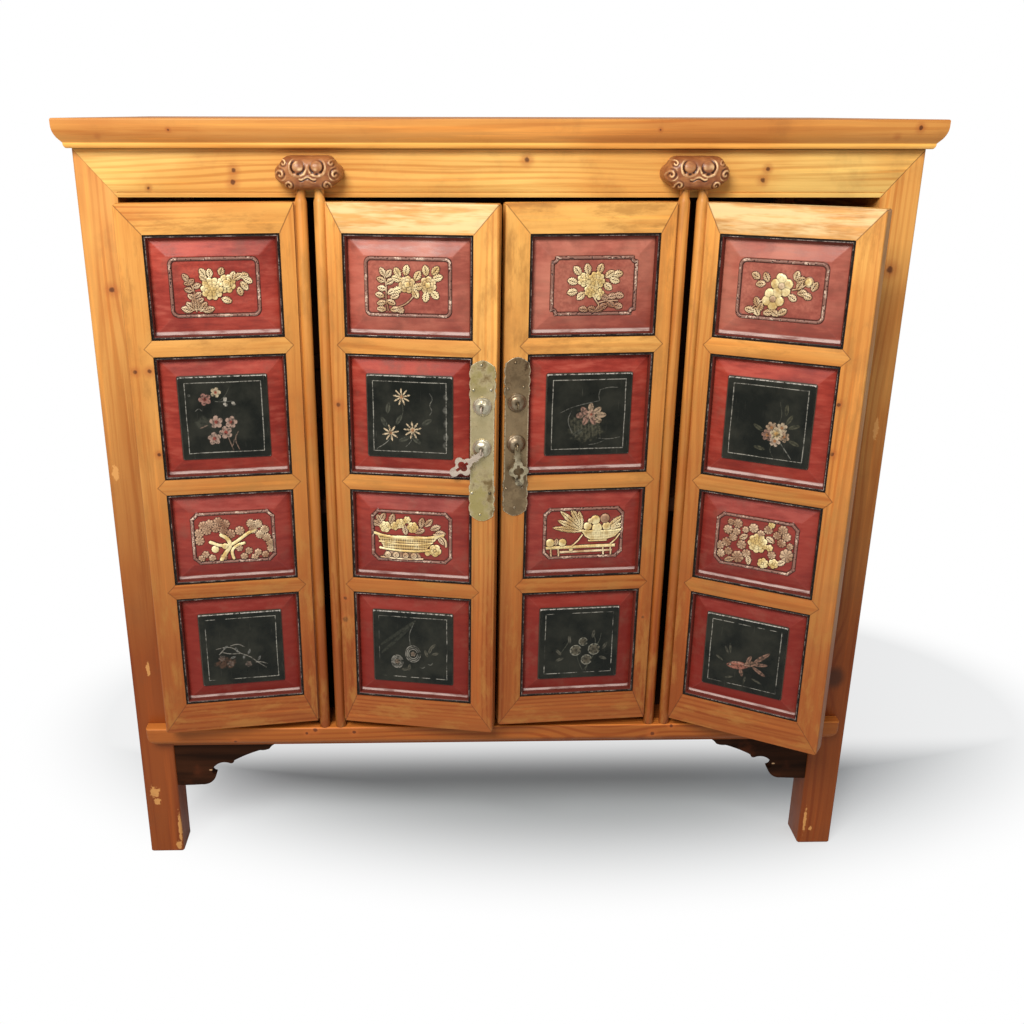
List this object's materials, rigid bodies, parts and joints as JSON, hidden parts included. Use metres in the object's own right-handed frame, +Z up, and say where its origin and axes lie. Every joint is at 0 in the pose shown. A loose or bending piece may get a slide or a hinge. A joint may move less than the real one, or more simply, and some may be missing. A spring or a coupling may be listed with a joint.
{
  "type": "chinese wedding cabinet",
  "caption": "Pine cabinet with pole-hung folding leaves of framed carved and painted panels, brass plates and drop pulls, a shelf and square legs.",
  "frame": {"origin": "on the floor under the middle of the footprint, with the leaves ajar as stored", "axes": "+X to the cabinet's right seen from the front, +Y to its back, +Z up"},
  "size_m": [1.145, 0.6903, 1.111],
  "materials": {
    "carcass_pine": "aged pine under worn amber varnish",
    "top_pine": "aged pine under worn amber varnish, more faded",
    "inside_wood": "bare aged pine, matt",
    "leaf_pine": "aged pine under amber varnish, satin",
    "black_bead": "black lacquer with a thin silver line",
    "carved_lacquer": "red-brown lacquer with gilt relief",
    "painted_lacquer": "red-brown lacquer round a dark painted tablet",
    "pale_brass": "brushed, lightly tarnished",
    "dark_brass": "brushed, darkened",
    "dull_brass": "dull, greyed"
  },
  "bodies": {
    "carcass": {"top_frame_front": "top_pine", "top_frame_back": "top_pine", "top_frame_left": "top_pine", "top_frame_right": "top_pine", "top_panel": "top_pine", "top_battens": "inside_wood", "post_front_left": "carcass_pine", "post_front_right": "carcass_pine", "post_back_left": "carcass_pine", "post_back_right": "carcass_pine", "header_rail": "carcass_pine", "sill_rail": "carcass_pine", "back_rails": "carcass_pine", "back_boards": "inside_wood", "side_rails_left": "carcass_pine", "side_rails_right": "carcass_pine", "side_panels_left": "carcass_pine", "side_panels_right": "carcass_pine", "floor_board": "inside_wood", "shelf_rails": "inside_wood", "shelf_board": "inside_wood", "shelf_bearers": "inside_wood", "spandrel_left": "carcass_pine", "spandrel_right": "carcass_pine", "socket_left": "carcass_pine", "socket_right": "carcass_pine"},
    "outer_left_leaf": {"outer_left_hinge_stile": "leaf_pine", "outer_left_free_stile": "leaf_pine", "outer_left_rails": "leaf_pine", "outer_left_beads": "black_bead", "outer_left_carved_panels": "carved_lacquer", "outer_left_painted_panels": "painted_lacquer"},
    "inner_left_leaf": {"inner_left_hinge_stile": "leaf_pine", "inner_left_free_stile": "leaf_pine", "inner_left_rails": "leaf_pine", "inner_left_beads": "black_bead", "inner_left_carved_panels": "carved_lacquer", "inner_left_painted_panels": "painted_lacquer", "inner_left_lock_plate": "pale_brass", "inner_left_bosses": "pale_brass", "inner_left_staples": "dull_brass"},
    "inner_right_leaf": {"inner_right_hinge_stile": "leaf_pine", "inner_right_free_stile": "leaf_pine", "inner_right_rails": "leaf_pine", "inner_right_beads": "black_bead", "inner_right_carved_panels": "carved_lacquer", "inner_right_painted_panels": "painted_lacquer", "inner_right_lock_plate": "dark_brass", "inner_right_bosses": "dark_brass", "inner_right_staples": "dull_brass"},
    "outer_right_leaf": {"outer_right_hinge_stile": "leaf_pine", "outer_right_free_stile": "leaf_pine", "outer_right_rails": "leaf_pine", "outer_right_beads": "black_bead", "outer_right_carved_panels": "carved_lacquer", "outer_right_painted_panels": "painted_lacquer"},
    "left_pull": {"inner_left_drop_pull": "dull_brass"},
    "right_pull": {"inner_right_drop_pull": "dull_brass"}
  },
  "joints": [
    {"name": "outer_left_hinge", "type": "hinge", "parent": "carcass", "child": "outer_left_leaf", "pos_m": [-0.26325, -0.2133, 0.631], "axis": [0, 0, 1], "range_deg": [-9, 76]},
    {"name": "inner_left_hinge", "type": "hinge", "parent": "carcass", "child": "inner_left_leaf", "pos_m": [-0.23875, -0.2133, 0.631], "axis": [0, 0, -1], "range_deg": [-11, 74]},
    {"name": "inner_right_hinge", "type": "hinge", "parent": "carcass", "child": "inner_right_leaf", "pos_m": [0.23875, -0.2133, 0.631], "axis": [0, 0, 1], "range_deg": [-5, 80]},
    {"name": "outer_right_hinge", "type": "hinge", "parent": "carcass", "child": "outer_right_leaf", "pos_m": [0.26325, -0.2133, 0.631], "axis": [0, 0, -1], "range_deg": [-31.8, 53.2]},
    {"name": "left_pull_swing", "type": "hinge", "parent": "inner_left_leaf", "child": "left_pull", "pos_m": [-0.02813, -0.27461, 0.686], "axis": [0.1908, 0.9816, 0], "range_deg": [-62, 26]},
    {"name": "right_pull_swing", "type": "hinge", "parent": "inner_right_leaf", "child": "right_pull", "pos_m": [0.02287, -0.25226, 0.686], "axis": [0.0872, -0.9962, 0], "range_deg": [-13, 75]}
  ]
}
